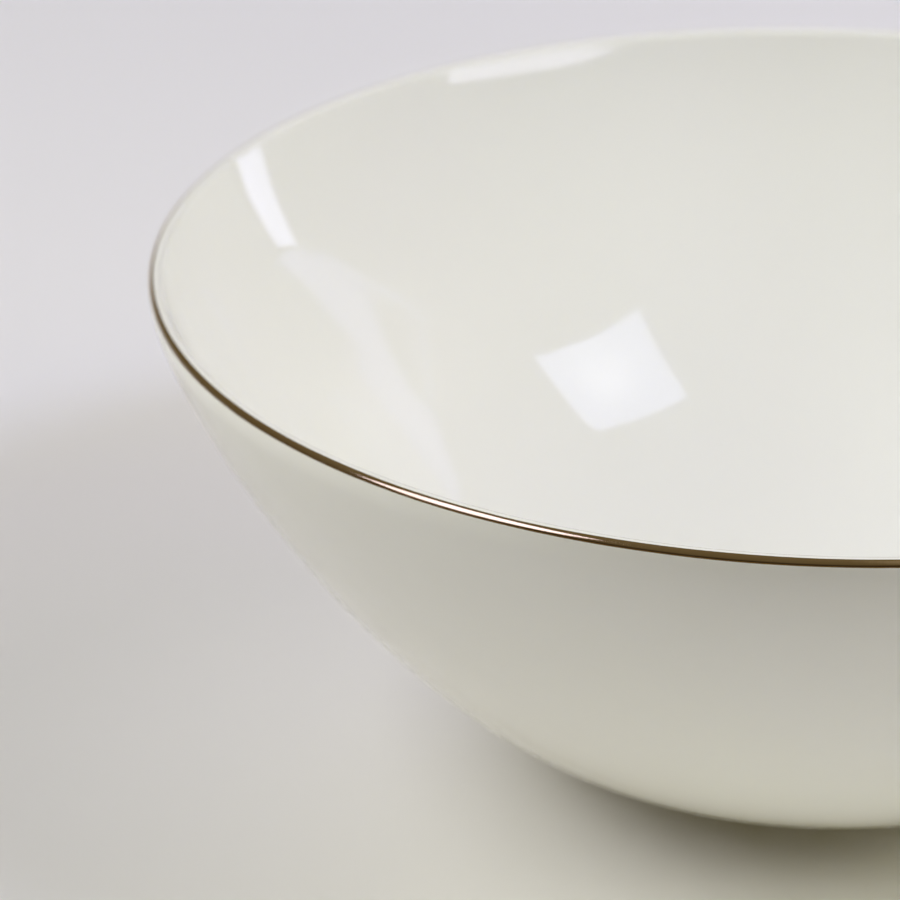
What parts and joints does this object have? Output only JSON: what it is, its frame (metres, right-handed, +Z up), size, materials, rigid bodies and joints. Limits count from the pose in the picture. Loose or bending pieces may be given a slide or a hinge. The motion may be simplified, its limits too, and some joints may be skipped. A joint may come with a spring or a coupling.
{
  "type": "porcelain serving bowl",
  "caption": "Deep flared porcelain serving bowl on a small turned foot ring, glazed inside and out, with a fired gold line on its rounded lip; holds food at the table.",
  "frame": {"origin": "centre of the plane the foot ring stands on", "axes": "+Z up along the axis of turning; +X and +Y are arbitrary, because the bowl is a body of revolution"},
  "size_m": [0.2502, 0.2502, 0.094],
  "materials": {
    "porcelain": "matte",
    "glaze": "polished",
    "gold": "polished"
  },
  "bodies": {
    "root": {"porcelain_body": "porcelain", "glaze_coat": "glaze", "foot_well_glaze": "glaze", "gilt_rim_band": "gold"}
  },
  "joints": []
}
